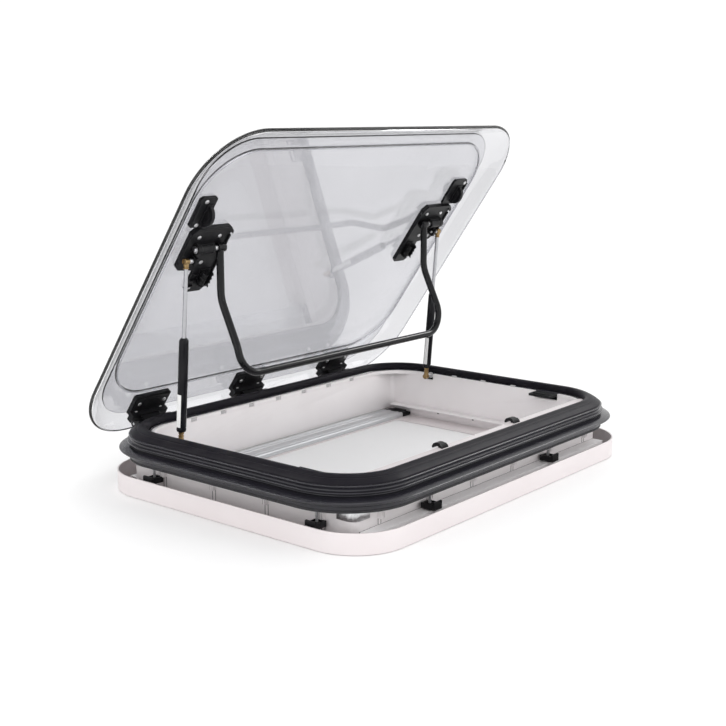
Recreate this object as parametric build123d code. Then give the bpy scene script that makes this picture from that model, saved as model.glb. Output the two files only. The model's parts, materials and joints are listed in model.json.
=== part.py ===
"""Roof / deck hatch: framed opening with a hinged acrylic lid, gas struts, bail and blinds.

Millimetres, +Z up.  The origin is the centre of the ceiling trim's lower face.  X runs along
the hinge side, +Y points to the hinges and -Y to the opening edge.  The lid is modelled shut
and then turned open about the hinge axis, which is how the hatch is stored.
"""
import math
import os
from build123d import *

os.makedirs("parts", exist_ok=True)

# ---- driving dimensions -------------------------------------------------------------------
CLEAR_X = 348.0          # half width between the inner walls
CLEAR_Y = 238.0          # half depth between the inner walls
WALL = 5.0               # inner wall thickness
WALL_TOP = 90.0
BAND_TOP = 95.5          # top of the band that carries the snap clips, under the lip
BAND_DEPTH = 5.6
WALL_FOOT = 14.0         # the walls stop above the blackout blind's pocket
SCREEN_GAP_TOP = 24.0    # top of the slot in the front wall for the fly screen
WALL_RADIUS = 10.0       # inner corner radius of the walls
RIB_DEPTH = 7.0          # outside ribs of the walls
RIB_HALF = 1.5
RIB_LOW = 34.0
RIB_TOP = 58.0
RIB_MARGIN = 45.0        # walls keep this much free of ribs at each corner
COLLAR_Y = 237.0         # half depth of the line that the collar section follows
COLLAR_RADIUS = 73.0     # corner radius of that line
ROOF_Z = 56.0            # plane of the roof skin, under the gasket
FRAME_FOOT = 60.0        # underside of the outer frame
FRAME_TOP = 97.0         # land that carries the lip seal
SEAL_TOP = 109.0         # highest line of the lip seal
SEAL_GAP = 0.5           # left between the seal and the shut pane's rib

CLIP_X = [72 * step for step in range(-3, 4)]
CLIP_HALF = 5.0
SIDE_CLIP_Y = (-60, 10, 80)
CATCH_Y = -136.0         # middle of the lid catches and their receivers

TRIM_X = 392.5
TRIM_Y = 293.0
TRIM_RADIUS = 90.0
TRIM_HEIGHT = 33.4
TRIM_WALL = 2.5
SIGHT_X = 298.0          # half width of the clear opening in the ceiling trim
SIGHT_Y = 186.0

OPEN_ANGLE = 55.0
HINGE_Y = 310.0
HINGE_Z = 87.0
HINGE_X = (-250.0, 0.0, 250.0)
PIN_RADIUS = 2.5
PIN_CLEARANCE = 0.05
KNUCKLE = 6.5

PANE_Z = 114.0           # lower face of the inner pane with the lid shut
PANE_THICK = 3.5
PANE_X = 370.0
PANE_FRONT = -274.0
PANE_BACK = 308.0
PANE_RADIUS = 86.0
PANE_RIB_OUTER = (369.0, 258.0, 96.0)
PANE_RIB_INNER = (364.5, 253.5, 91.5)
PANE_RIB_Y = 1.5         # middle of the pane's rib

BAIL_Y = -72.0           # bail pivot with the lid shut
BAIL_Z = 101.7
BAIL_X = 274.0           # half spacing of the bail's legs
BAIL_TUBE = 6.25
BAIL_PIN = 5.0
BAIL_HUB = 7.5
HUB_START = 265.0        # along X: the bail's hub, then the bracket's housing for its pin
HUB_END = 281.0
HOUSING_START = 290.0
HOUSING_END = 327.0
HOUSING = 8.5
BAIL_PIN_END = 327.5
BAIL_PIN_HEAD = 7.0
BAIL_PIN_TIP = 330.3

STRUT_X = 336.0
STRUT_FOOT = (140.0, 92.0)       # Y and Z of the lower ball
STRUT_HEAD = (-50.0, 101.2)      # Y and Z of the upper ball with the lid shut
STRUT_TUBE = 8.0
STRUT_BORE = 6.5
STRUT_ROD = 4.0
TUBE_START = 18.0        # distances along the strut from the lower ball
TUBE_END = 168.0
GUIDE_END = 175.0
SOCKET_LENGTH = 12.0
ROD_START = 141.0        # the piston ends here and clears the closed foot at full stroke
PISTON = 8.0             # length of the piston
BALL = 4.0
CUP = 6.5                # the end fittings: ball cup and neck
CUP_HALF = 5.0
NECK = 5.0

SCREW_X = 372.0          # half spacing of the ceiling screws
SCREW_Y = 225.0
SCREW_HOLE = 2.25

SHANK = 2.25             # small fasteners: shank, its hole and the pan head
SHANK_HOLE = 2.3
PAN = 3.8
PAN_HEIGHT = 2.0


# ---- helpers ------------------------------------------------------------------------------
def slab(half_x, half_y, radius, low, high, centre_y=0.0):
    """A plate with rounded corners between two heights."""
    sketch = Plane((0, centre_y, low)) * RectangleRounded(2 * half_x, 2 * half_y, radius)
    return extrude(sketch, high - low)


def ring(outer, inner, low, high, centre_y=0.0):
    """A flat ring between two rounded outlines, each (half_x, half_y, radius)."""
    body = slab(*outer, low, high, centre_y)
    return body - slab(*inner, low - 1, high + 1, centre_y)


def swept_ring(section, half_x, half_y, radius):
    """Sweep an (outward, height) section round a rounded rectangle."""
    path = Wire(RectangleRounded(2 * half_x, 2 * half_y, radius).wire().edges())
    start = path @ 0
    tangent = path % 0
    outward = Vector(-tangent.Y, tangent.X, 0)
    if outward.dot(Vector(start.X, start.Y, 0)) < 0:
        outward = outward * -1
    plane = Plane(origin=start, x_dir=outward, z_dir=tangent)
    flip = 1 if plane.y_dir.Z > 0 else -1
    points = [(out, flip * height) for out, height in section]
    face = plane * make_face(Polyline(*points, close=True))
    return sweep(face, path=path)


def block(x0, x1, y0, y1, z0, z1):
    """An axis-aligned box from its limits."""
    size = (abs(x1 - x0), abs(y1 - y0), abs(z1 - z0))
    return Pos((x0 + x1) / 2, (y0 + y1) / 2, (z0 + z1) / 2) * Box(*size)


def rod_x(x0, x1, y, z, radius):
    """A round bar along X."""
    return Pos((x0 + x1) / 2, y, z) * Rot(0, 90, 0) * Cylinder(radius, abs(x1 - x0))


def rod_z(x, y, z0, z1, radius):
    """A round bar along Z."""
    return Pos(x, y, (z0 + z1) / 2) * Cylinder(radius, abs(z1 - z0))


def opened(shape):
    """Turn a shape of the shut lid to its stored, open place."""
    return Pos(0, HINGE_Y, HINGE_Z) * Rot(-OPEN_ANGLE, 0, 0) * Pos(0, -HINGE_Y, -HINGE_Z) * shape


def opened_point(y, z):
    """Y and Z of a shut lid's point once the lid is open."""
    turn = math.radians(OPEN_ANGLE)
    dy = y - HINGE_Y
    dz = z - HINGE_Z
    new_y = dy * math.cos(turn) + dz * math.sin(turn)
    new_z = -dy * math.sin(turn) + dz * math.cos(turn)
    return HINGE_Y + new_y, HINGE_Z + new_z


def solids_of(shapes):
    """Every solid of a list of shapes, in order."""
    found = []
    for shape in shapes:
        found.extend(shape.solids())
    return found


def save(name, *shapes):
    """Write one node's solids to parts/NAME.step."""
    solids = solids_of(shapes)
    node = solids[0] if len(solids) == 1 else Compound(children=solids)
    export_step(node, "parts/" + name + ".step")


# ---- outer frame, gasket and seal ------------------------------------------------------------
def outer_frame():
    """The black roof frame: collar, drip ridge, roof flange and foot in one hollow section."""
    section = [
        (6, 91), (6, 95), (8, FRAME_TOP), (41, FRAME_TOP), (43, 95.5), (43, 92.5),
        (40, 91), (40, 88.5), (45, 87), (45, 85.5), (40, 84), (39, 79), (57, 77), (58.5, 75.5),
        (58.5, 73), (57, 71.5), (43, 70), (42, 69), (42, FRAME_FOOT), (33, FRAME_FOOT),
        (33, 63), (36, 63), (36, 93), (10, 93), (10, 91),
    ]
    return swept_ring(section, CLEAR_X, COLLAR_Y, COLLAR_RADIUS)


def roof_gasket():
    """The sealing strip between the frame's foot and the roof."""
    section = [(33, ROOF_Z), (42, ROOF_Z), (42, FRAME_FOOT), (33, FRAME_FOOT)]
    return swept_ring(section, CLEAR_X, COLLAR_Y, COLLAR_RADIUS)


def lip_seal():
    """The rubber bulb on the collar that the shut lid presses on."""
    section = [
        (10, FRAME_TOP), (10, 101), (12, 106), (16, 108.6), (21, SEAL_TOP), (26, 106.5),
        (29, 104), (34, 102.5), (38, 100), (40, 98.5), (40, FRAME_TOP),
    ]
    return swept_ring(section, CLEAR_X, COLLAR_Y, COLLAR_RADIUS)


# ---- inner frame and ceiling trim ------------------------------------------------------------
def rib_places(half_length, pitch, start):
    """Rib positions along one wall, kept clear of the corners."""
    place = start
    while place - pitch > -half_length + RIB_MARGIN:
        place -= pitch
    places = []
    while place < half_length - RIB_MARGIN:
        places.append(place)
        place += pitch
    return places


def inner_frame():
    """The white lining: four walls with outside ribs and a top edge with snap recesses."""
    outer = (CLEAR_X + WALL, CLEAR_Y + WALL, WALL_RADIUS + WALL)
    inner = (CLEAR_X, CLEAR_Y, WALL_RADIUS)
    walls = ring(outer, inner, WALL_FOOT, WALL_TOP)
    face_x = CLEAR_X + WALL
    face_y = CLEAR_Y + WALL
    for place in rib_places(face_x, 120, -56):
        for side in (-1, 1):
            y_in = side * (face_y - 1)
            y_out = side * (face_y + RIB_DEPTH)
            walls += block(place - RIB_HALF, place + RIB_HALF, y_in, y_out, RIB_LOW, RIB_TOP)
    for place in rib_places(face_y, 115, 47):
        for side in (-1, 1):
            x_in = side * (face_x - 1)
            x_out = side * (face_x + RIB_DEPTH)
            walls += block(x_in, x_out, place - RIB_HALF, place + RIB_HALF, RIB_LOW, RIB_TOP)
    low = WALL_TOP - 1
    section = [(0, low), (BAND_DEPTH, low), (BAND_DEPTH, BAND_TOP), (0, BAND_TOP)]
    walls += swept_ring(section, CLEAR_X, COLLAR_Y, COLLAR_RADIUS)
    for x in CLIP_X:
        for side in (-1, 1):
            y_face = side * (COLLAR_Y - 1)
            y_cut = side * (COLLAR_Y + 3.5)
            half = CLIP_HALF + 2
            walls -= block(x - half, x + half, y_face, y_cut, WALL_TOP - 2, BAND_TOP + 1)
    walls -= block(-POCKET_HALF, POCKET_HALF, -CLEAR_Y + 1, -CLEAR_Y - WALL - 5,
                   WALL_FOOT - 1, SCREEN_GAP_TOP)
    notch_y = STRUT_FOOT[0]
    for side in (-1, 1):
        x_in = side * (CLEAR_X - 1)
        x_out = side * (CLEAR_X + WALL + 1)
        walls -= block(x_in, x_out, notch_y - 9, notch_y + 9, WALL_TOP - 7, BAND_TOP + 1)
        walls -= block(x_in, x_out, CATCH_Y - 25, CATCH_Y + 25, WALL_TOP - 7, BAND_TOP + 1)
    return walls


def ceiling_screw_places():
    """The four screw centres of the ceiling trim."""
    return [(sx * SCREW_X, sy * SCREW_Y) for sx in (-1, 1) for sy in (-1, 1)]


def ceiling_trim():
    """The white ceiling ring: an upright rim and a flat that covers the roof's cut edge."""
    outer = (TRIM_X, TRIM_Y, TRIM_RADIUS)
    inside = (TRIM_X - TRIM_WALL, TRIM_Y - TRIM_WALL, TRIM_RADIUS - TRIM_WALL)
    rim = ring(outer, inside, 0, TRIM_HEIGHT)
    flat = ring(outer, (SIGHT_X, SIGHT_Y, 8), 0, TRIM_WALL)
    trim = rim + flat
    foot_edges = trim.edges().filter_by(lambda e: e.center().Z < 0.01)
    outside = foot_edges.filter_by(lambda e: max(abs(e.center().X) - TRIM_X,
                                                 abs(e.center().Y) - TRIM_Y) > -40)
    trim = fillet(outside, 1.8)
    for x, y in ceiling_screw_places():
        trim -= rod_z(x, y, -1, TRIM_WALL + 1, SCREW_HOLE)
    return trim


def snap_clips():
    """Small white clips in the band's pockets, and tabs on its side runs."""
    clips = []
    for x in CLIP_X:
        for side in (-1, 1):
            y_in = side * (COLLAR_Y + 1.2)
            y_out = side * (COLLAR_Y + 3.2)
            clips.append(block(x - CLIP_HALF, x + CLIP_HALF, y_in, y_out, WALL_TOP - 1, BAND_TOP - 1))
    for place in SIDE_CLIP_Y:
        for side in (-1, 1):
            x_in = side * (CLEAR_X + 0.5)
            x_out = side * (CLEAR_X + 4.5)
            clips.append(block(x_in, x_out, place - CLIP_HALF, place + CLIP_HALF,
                               BAND_TOP, BAND_TOP + 3))
    return clips


# ---- clamps between lining and roof ----------------------------------------------------------
CLAMP_X = (-190.0, 157.0)        # along the front and back walls
CLAMP_Y = (-183.0, 172.0)        # along the side walls
CLAMP_GAP = 4.2                  # wall to clamp arm
CLAMP_REACH = 26.0
CLAMP_HALF = 10.0
CLAMP_LOW = 25.5
CLAMP_TOP = 33.5
CLAMP_TIP = 4.0
CLAMP_TIP_TOP = 38.5
CLAMP_SCREW = 10.0               # arm's wall end to its screw
CLAMP_NUT = 3.6


def clamp_places():
    """Each clamp's wall end with its outward direction, as (x, y, outward x, outward y)."""
    places = []
    for side in (-1, 1):
        for x in CLAMP_X:
            places.append((x, side * (CLEAR_Y + WALL + CLAMP_GAP), 0, side))
        for y in CLAMP_Y:
            places.append((side * (CLEAR_X + WALL + CLAMP_GAP), y, side, 0))
    return places


def clamp_block(place, start, stop, low, high):
    """A block as wide as a clamp arm between two reaches from its wall end."""
    x, y, out_x, out_y = place
    half_x = CLAMP_HALF if out_y else 0
    half_y = CLAMP_HALF if out_x else 0
    return block(x + out_x * start - half_x, x + out_x * stop + half_x,
                 y + out_y * start - half_y, y + out_y * stop + half_y, low, high)


def clamp_brackets():
    """Black clamp arms that grip the roof from below."""
    arms = []
    for place in clamp_places():
        x, y, out_x, out_y = place
        arm = clamp_block(place, 0, CLAMP_REACH, CLAMP_LOW, CLAMP_TOP)
        arm += clamp_block(place, CLAMP_REACH - CLAMP_TIP, CLAMP_REACH, CLAMP_TOP, CLAMP_TIP_TOP)
        screw_x = x + out_x * CLAMP_SCREW
        screw_y = y + out_y * CLAMP_SCREW
        arm -= rod_z(screw_x, screw_y, CLAMP_LOW - 1, CLAMP_TOP + 1, SHANK_HOLE)
        arms.append(arm)
    return arms


def clamp_screws():
    """The clamps' long screws, driven up from below the arm, with their nuts."""
    screws = []
    for x, y, out_x, out_y in clamp_places():
        screw_x = x + out_x * CLAMP_SCREW
        screw_y = y + out_y * CLAMP_SCREW
        shank = rod_z(screw_x, screw_y, CLAMP_LOW, 59, SHANK)
        head = rod_z(screw_x, screw_y, SCREEN_GAP_TOP + 0.1, CLAMP_LOW, 4.2)
        nut = rod_z(screw_x, screw_y, 55.5, 59, CLAMP_NUT)
        screws.append(shank + head + nut)
    return screws


BRACE_THICK = 1.0
BRACE_LEG = 34.0
BRACE_LOW = 40.0
BRACE_TOP = 55.0


def corner_brackets():
    """Thin steel angles that follow the lining's four rounded corners."""
    face_x = CLEAR_X + WALL + PIN_CLEARANCE
    face_y = CLEAR_Y + WALL + PIN_CLEARANCE
    radius = WALL_RADIUS + WALL + PIN_CLEARANCE
    outer = (face_x + BRACE_THICK, face_y + BRACE_THICK, radius + BRACE_THICK)
    band = ring(outer, (face_x, face_y, radius), BRACE_LOW, BRACE_TOP)
    angles = []
    for side_x in (-1, 1):
        for side_y in (-1, 1):
            corner = block(side_x * (face_x - BRACE_LEG), side_x * (face_x + 5),
                           side_y * (face_y - BRACE_LEG), side_y * (face_y + 5),
                           BRACE_LOW - 1, BRACE_TOP + 1)
            angles.append(band & corner)
    return angles


# ---- blinds ----------------------------------------------------------------------------------
RAIL_INNER = 327.0
RAIL_WEB = 345.2
RAIL_SCREW = 2.6
RAIL_LOW = TRIM_WALL
RAIL_TOP = 24.0
BAR_HALF = 344.6
BAR_DEPTH = 48.0
CAP_START = 319.0
BLACKOUT_Z = (3.4, 12.0)
SCREEN_Z = (12.9, 21.5)
RAIL_HALF = 227.0
POCKET_HALF = 342.0
POCKET_OUTER = 264.0
POCKET_WALL = 1.6
RAIL_SCREW_Z = 17.0
RAIL_SCREW_Y = (-150, -60, 29, 115)
BAR_PARK = SIGHT_Y       # inner edge of a parked blind bar
BAR_GROOVES = (13, 35)   # finger grooves, from the bar's inner edge
GROOVE_HALF = 1.5
GROOVE_DEEP = 1.2


def blind_rail(side):
    """A side rail: a web with an upper lip that guides both blind bars."""
    web = block(side * RAIL_WEB, side * CLEAR_X, -RAIL_HALF, RAIL_HALF, RAIL_LOW, RAIL_TOP)
    lip = block(side * RAIL_INNER, side * (RAIL_WEB + 1), -RAIL_HALF, RAIL_HALF, 22, RAIL_TOP)
    rail = web + lip
    for y in RAIL_SCREW_Y:
        rail -= rod_x(side * (RAIL_WEB - 1), side * (CLEAR_X + 1), y, RAIL_SCREW_Z,
                      RAIL_SCREW + PIN_CLEARANCE)
    return rail


def rail_screws():
    """Dark screws that hold the side rails."""
    screws = []
    for y in RAIL_SCREW_Y:
        for side in (-1, 1):
            start = side * (RAIL_WEB - 0.3)
            screws.append(rod_x(start, side * (CLEAR_X - 0.1), y, RAIL_SCREW_Z, RAIL_SCREW))
    return screws


def pleat_pocket(side, inner, ceiling):
    """White channel that holds a folded blind, open towards the rails."""
    outer = side * POCKET_OUTER
    low = ceiling - POCKET_WALL
    top = block(-POCKET_HALF, POCKET_HALF, side * inner, outer, low, ceiling)
    web = block(-POCKET_HALF, POCKET_HALF, side * (POCKET_OUTER - 2), outer, RAIL_LOW, low)
    return top + web


def blind_bar(levels, side):
    """An aluminium pull bar with two finger grooves along its top."""
    low, high = levels
    inner = side * BAR_PARK
    outer = side * (BAR_PARK + BAR_DEPTH)
    bar = block(-CAP_START, CAP_START, inner, outer, low, high)
    for offset in BAR_GROOVES:
        y = side * (BAR_PARK + offset)
        bar -= block(-CAP_START - 1, CAP_START + 1, y - GROOVE_HALF, y + GROOVE_HALF,
                     high - GROOVE_DEEP, high + 1)
    return bar


def bar_caps(levels, side):
    """Black sliding end caps of a blind bar."""
    low, high = levels
    caps = []
    for end in (-1, 1):
        inner = side * (BAR_PARK - 1)
        outer = side * (BAR_PARK + BAR_DEPTH + 1)
        caps.append(block(end * CAP_START, end * BAR_HALF, inner, outer, low, high))
    return caps


def pleats(levels, side):
    """The folded blind cloth in its pocket, as one plain solid."""
    low, high = levels
    start = BAR_PARK + BAR_DEPTH + 1.5
    return block(-CAP_START + 1, CAP_START - 1, side * start, side * (POCKET_OUTER - 3), low, high)


# ---- hinges ------------------------------------------------------------------------------------
BASE_HALF = 42.0         # half length of a hinge's frame half and of its pin
BASE_LOW = 79.0
BASE_TOP = 92.0
BASE_SCREW_X = 30.0
BASE_SCREW_Y = 289.0
BASE_PAN = 4.0
LEAF_ARM = 20.0          # half length of the middle knuckle
LEAF_HALF = 40.0
LEAF_FRONT = 266.0
LEAF_THICK = 9.5


def hinge_bases():
    """Frame halves of the three hinges, each with two outer knuckles."""
    bases = []
    for x in HINGE_X:
        body = block(x - BASE_HALF, x + BASE_HALF, COLLAR_Y + 45, 297, BASE_LOW, BASE_TOP)
        for end in (-1, 1):
            near = x + end * (LEAF_ARM + 2)
            far = x + end * BASE_HALF
            body += block(near, far, 296, HINGE_Y, HINGE_Z - KNUCKLE, HINGE_Z + KNUCKLE)
            body += rod_x(near, far, HINGE_Y, HINGE_Z, KNUCKLE)
        bore = PIN_RADIUS + PIN_CLEARANCE
        body -= rod_x(x - BASE_HALF - 1, x + BASE_HALF + 1, HINGE_Y, HINGE_Z, bore)
        for end in (-1, 1):
            screw_x = x + end * BASE_SCREW_X
            body -= rod_z(screw_x, BASE_SCREW_Y, BASE_LOW - 9, BASE_TOP + 8, SHANK_HOLE)
        bases.append(body)
    return bases


def hinge_base_screws():
    """Two screws through each hinge base into the flange."""
    screws = []
    for x in HINGE_X:
        for end in (-1, 1):
            screw_x = x + end * BASE_SCREW_X
            shank = rod_z(screw_x, BASE_SCREW_Y, BASE_LOW, BASE_TOP, SHANK)
            head = rod_z(screw_x, BASE_SCREW_Y, BASE_TOP, BASE_TOP + PAN_HEIGHT, BASE_PAN)
            screws.append(shank + head)
    return screws


def hinge_pins():
    """Hinge pins, one through each set of knuckles."""
    return [rod_x(x - BASE_HALF, x + BASE_HALF, HINGE_Y, HINGE_Z, PIN_RADIUS) for x in HINGE_X]


def leaf_screw_places():
    """Screw centres of one lid leaf, relative to the hinge's middle."""
    return [(dx, y) for dx in (-28, 28) for y in (282, 302)]


def hinge_leaf(x):
    """Lid half of one hinge: a chamfered plate, an arm and the middle knuckle."""
    low = PANE_Z - LEAF_THICK
    plate = block(x - LEAF_HALF, x + LEAF_HALF, LEAF_FRONT, PANE_BACK, low, PANE_Z)
    corners = plate.edges().filter_by(Axis.Z).group_by(Axis.Y)[0]
    plate = chamfer(corners, 8)
    start = x - LEAF_ARM
    end = x + LEAF_ARM
    arm = block(start, end, HINGE_Y - KNUCKLE, HINGE_Y + KNUCKLE, HINGE_Z, low + 0.5)
    leaf = plate + arm + rod_x(start, end, HINGE_Y, HINGE_Z, KNUCKLE)
    leaf -= rod_x(start - 1, end + 1, HINGE_Y, HINGE_Z, PIN_RADIUS + PIN_CLEARANCE)
    for dx, y in leaf_screw_places():
        leaf -= rod_z(x + dx, y, low - 1, PANE_Z + 1, SHANK_HOLE)
    return opened(leaf)


def lid_screw(x, y, seat):
    """A pan-head screw driven up into the lid, with its head below the given seat."""
    shank = rod_z(x, y, seat, PANE_Z, SHANK)
    head = rod_z(x, y, seat - PAN_HEIGHT, seat, PAN)
    return opened(shank + head)


def hinge_leaf_screws():
    """Four screws through each lid leaf."""
    screws = []
    for x in HINGE_X:
        for dx, y in leaf_screw_places():
            screws.append(lid_screw(x + dx, y, PANE_Z - LEAF_THICK))
    return screws


# ---- lid ---------------------------------------------------------------------------------------
def lofted(levels):
    """A solid through rounded outlines, each (z, half_x, front, back, radius)."""
    sections = []
    for z, half_x, front, back, radius in levels:
        centre = (front + back) / 2
        sketch = Plane((0, centre, z)) * RectangleRounded(2 * half_x, back - front, radius)
        sections.append(sketch)
    return loft(sections, ruled=True)


def outer_dome():
    """The outer acrylic shell: a rim skirt that slopes into a shallow dome."""
    outer = lofted([
        (92, 415, -307, 327, 115), (96, 414.5, -306.5, 326.5, 114.5),
        (105, 402, -298, 324, 106), (115, 386, -286, 318, 98),
        (124, 366, -270, 305, 88), (131, 338, -244, 280, 75),
        (135.5, 300, -206, 243, 60), (138, 250, -157, 195, 45),
    ])
    inner = lofted([
        (91, 411.5, -303.5, 323.5, 111.5), (96, 411, -303, 323, 111),
        (104, 399.5, -295.5, 321.5, 103.5), (113.5, 384, -284, 315, 96),
        (121, 364, -268, 302, 86), (127.5, 336, -242, 278, 73),
        (132, 299, -205, 242, 59), (134.5, 250, -157, 195, 45),
    ])
    return opened(outer - inner)


def inner_pane():
    """The flat inner acrylic pane with a formed rib that lands on the lip seal."""
    centre = (PANE_FRONT + PANE_BACK) / 2
    depth = (PANE_BACK - PANE_FRONT) / 2
    plate = slab(PANE_X, depth, PANE_RADIUS, PANE_Z, PANE_Z + PANE_THICK, centre)
    rib = ring(PANE_RIB_OUTER, PANE_RIB_INNER, SEAL_TOP + SEAL_GAP, PANE_Z + 0.5, PANE_RIB_Y)
    return opened(plate + rib)


BRACKET_THICK = 4.5
BRACKET_INNER = 255.0    # edge of the lid bracket nearest the middle
LUG_START = 316.0        # lug of the bracket that holds the ball stud
LUG_END = 322.0
STUD = 2.5
CATCH_THICK = 5.0
CATCH_X = 332.0          # middle of the catch's fin
CATCH_SCREW_X = 343.0
CATCH_SCREW_Y = (CATCH_Y - 26, CATCH_Y + 19)


def bracket_screw_places(side):
    """Screw centres of a lid bracket: four in the head and one in the arm."""
    return [(side * 322, -90), (side * 278, -90), (side * 322, -34), (side * 292, -37),
            (side * 292, 16)]


def lid_bracket(side):
    """An L-shaped lid bracket with the housing that carries the bail's pivot pin."""
    low = PANE_Z - BRACKET_THICK
    head = block(side * BRACKET_INNER, side * 345, -111, -24, low, PANE_Z)
    head = chamfer(head.edges().filter_by(Axis.Z), 10)
    arm = block(side * BRACKET_INNER, side * 300, -30, 27, low, PANE_Z)
    body = head + arm
    body += block(side * HOUSING_START, side * HOUSING_END, BAIL_Y - 8, BAIL_Y + 8, BAIL_Z, low + 1)
    body += rod_x(side * HOUSING_START, side * HOUSING_END, BAIL_Y, BAIL_Z, HOUSING)
    stud_y, stud_z = STRUT_HEAD
    body += block(side * LUG_START, side * LUG_END, stud_y - 6, stud_y + 6, stud_z - 6, low + 1)
    bore = BAIL_PIN + PIN_CLEARANCE
    body -= rod_x(side * (HOUSING_START - 5), side * (HOUSING_END + 5), BAIL_Y, BAIL_Z, bore)
    body -= rod_x(side * (LUG_START - 1), side * (LUG_END + 1), stud_y, stud_z, STUD)
    for x, y in bracket_screw_places(side):
        body -= rod_z(x, y, low - 1.5, PANE_Z + 1, SHANK_HOLE)
    return opened(body)


def bracket_screws():
    """Pan-head screws of both lid brackets."""
    screws = []
    for side in (-1, 1):
        for x, y in bracket_screw_places(side):
            screws.append(lid_screw(x, y, PANE_Z - BRACKET_THICK))
    return screws


def bail_clip(side):
    """An open cradle on the bracket's arm that holds a parked bail leg."""
    low = BAIL_Z - 6
    seat = PANE_Z - BRACKET_THICK
    top = seat - 1.2
    outer = 10
    inner = 7
    base = block(side * (BAIL_X - outer), side * (BAIL_X + outer), -18, 4, top, seat)
    near = block(side * (BAIL_X - outer), side * (BAIL_X - inner), -18, 4, low, top)
    far = block(side * (BAIL_X + inner), side * (BAIL_X + outer), -18, 4, low, top)
    return opened(base + near + far)


def lid_ball_stud(side):
    """The stud on a lid bracket that the gas strut's upper end sits against."""
    y, z = STRUT_HEAD
    shank = rod_x(side * (LUG_START - 4), side * (LUG_END + 1), y, z, STUD)
    boss = rod_x(side * (LUG_END + 0.1), side * 330.3, y, z, BALL)
    return opened(shank + boss)


def lid_catch(side):
    """A catch plate with the half-round fin that drops into the frame's receiver."""
    low = PANE_Z - CATCH_THICK
    plate = block(side * 320, side * 350, CATCH_Y - 34, CATCH_Y + 24, low, PANE_Z)
    plate = chamfer(plate.edges().filter_by(Axis.Z), 6)
    fin = rod_x(side * (CATCH_X - 4), side * (CATCH_X + 4), CATCH_Y, low + 1, 18)
    fin -= block(side * 320, side * 345, CATCH_Y - 30, CATCH_Y + 30, PANE_Z - 1, PANE_Z + 30)
    body = plate + fin
    for y in CATCH_SCREW_Y:
        body -= rod_z(side * CATCH_SCREW_X, y, low - 1, PANE_Z + 1, SHANK_HOLE)
    return opened(body)


def catch_screws():
    """Two screws in each catch plate."""
    screws = []
    for side in (-1, 1):
        for y in CATCH_SCREW_Y:
            screws.append(lid_screw(side * CATCH_SCREW_X, y, PANE_Z - CATCH_THICK))
    return screws


# ---- frame fittings --------------------------------------------------------------------------
def catch_receiver(side):
    """A black pocket on the collar that the lid catch drops into."""
    half = 24
    wall = 3
    plate = block(side * 324.5, side * 353.8, CATCH_Y - half, CATCH_Y + half, 90.5, 95)
    pocket = block(side * (CATCH_X - 5.5), side * (CATCH_X + 5.5), CATCH_Y - half + wall,
                   CATCH_Y + half - wall, 85, 100)
    return plate - pocket


def bail_hooks():
    """Two hooks inside the front wall for the bail's bar."""
    hooks = []
    half = 9
    for x in (-106, 106):
        foot = block(x - half, x + half, -COLLAR_Y + 0.2, -222, 88, 94)
        post = block(x - half, x + half, -226, -218, 88, 106)
        tip = block(x - half, x + half, -222, -204, 102, 108)
        hooks.append(foot + post + tip)
    return hooks


def strut_frame_studs():
    """Ball studs on the collar for the struts' lower ends."""
    y, z = STRUT_FOOT
    studs = []
    for side in (-1, 1):
        plate = rod_x(side * 351.5, side * 353.9, y, z, 6)
        shank = rod_x(side * (STRUT_X + 1), side * 352, y, z, STUD)
        ball = Pos(side * STRUT_X, y, z) * Rot(0, side * 90, 0) * Sphere(BALL)
        studs.append(plate + shank + ball)
    return studs


# ---- bail --------------------------------------------------------------------------------------
def bail():
    """The bent tube with its two end hubs, hanging straight down from the lid."""
    pivot_y, pivot_z = opened_point(BAIL_Y, BAIL_Z)
    lean = pivot_y - 36
    bar_y = pivot_y - 43
    bar_z = pivot_z - 205
    half = [
        (BAIL_X, pivot_y, pivot_z - 4), (BAIL_X, pivot_y, pivot_z - 84),
        (BAIL_X, lean, pivot_z - 160), (BAIL_X - 4, bar_y, bar_z),
    ]
    left = [(-x, y, z) for x, y, z in half]
    points = left + half[::-1]
    path = FilletPolyline(*points, radius=[60, 60, 42, 42, 60, 60])
    start = Plane(origin=path @ 0, z_dir=path % 0)
    tube = sweep(start * Circle(BAIL_TUBE), path=path)
    for side in (-1, 1):
        tube += rod_x(side * HUB_START, side * HUB_END, pivot_y, pivot_z, BAIL_HUB)
    return tube


def bail_pivot_pins():
    """Pins fixed in the bail's hubs that turn in the bracket housings."""
    y, z = opened_point(BAIL_Y, BAIL_Z)
    pins = []
    for side in (-1, 1):
        shank = rod_x(side * HUB_END, side * BAIL_PIN_END, y, z, BAIL_PIN)
        head = rod_x(side * BAIL_PIN_END, side * BAIL_PIN_TIP, y, z, BAIL_PIN_HEAD)
        pins.append(shank + head)
    return pins


# ---- gas struts --------------------------------------------------------------------------------
def strut_frame():
    """Lower ball, strut length and lean from upright, with the lid open."""
    head_y, head_z = opened_point(*STRUT_HEAD)
    foot_y, foot_z = STRUT_FOOT
    length = math.hypot(head_y - foot_y, head_z - foot_z)
    lean = math.degrees(math.atan2(foot_y - head_y, head_z - foot_z))
    return length, lean


STRUT_LENGTH, STRUT_LEAN = strut_frame()


def on_strut(side, shape):
    """Place a shape drawn along +Z from the lower ball onto one strut."""
    foot_y, foot_z = STRUT_FOOT
    return Pos(side * STRUT_X, foot_y, foot_z) * Rot(STRUT_LEAN, 0, 0) * shape


def strut_tube(side):
    """The strut's steel pressure tube, closed at its foot."""
    tube = rod_z(0, 0, TUBE_START, TUBE_END, STRUT_TUBE)
    tube -= rod_z(0, 0, TUBE_START + 5, TUBE_END + 1, STRUT_BORE)
    return on_strut(side, tube)


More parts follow.
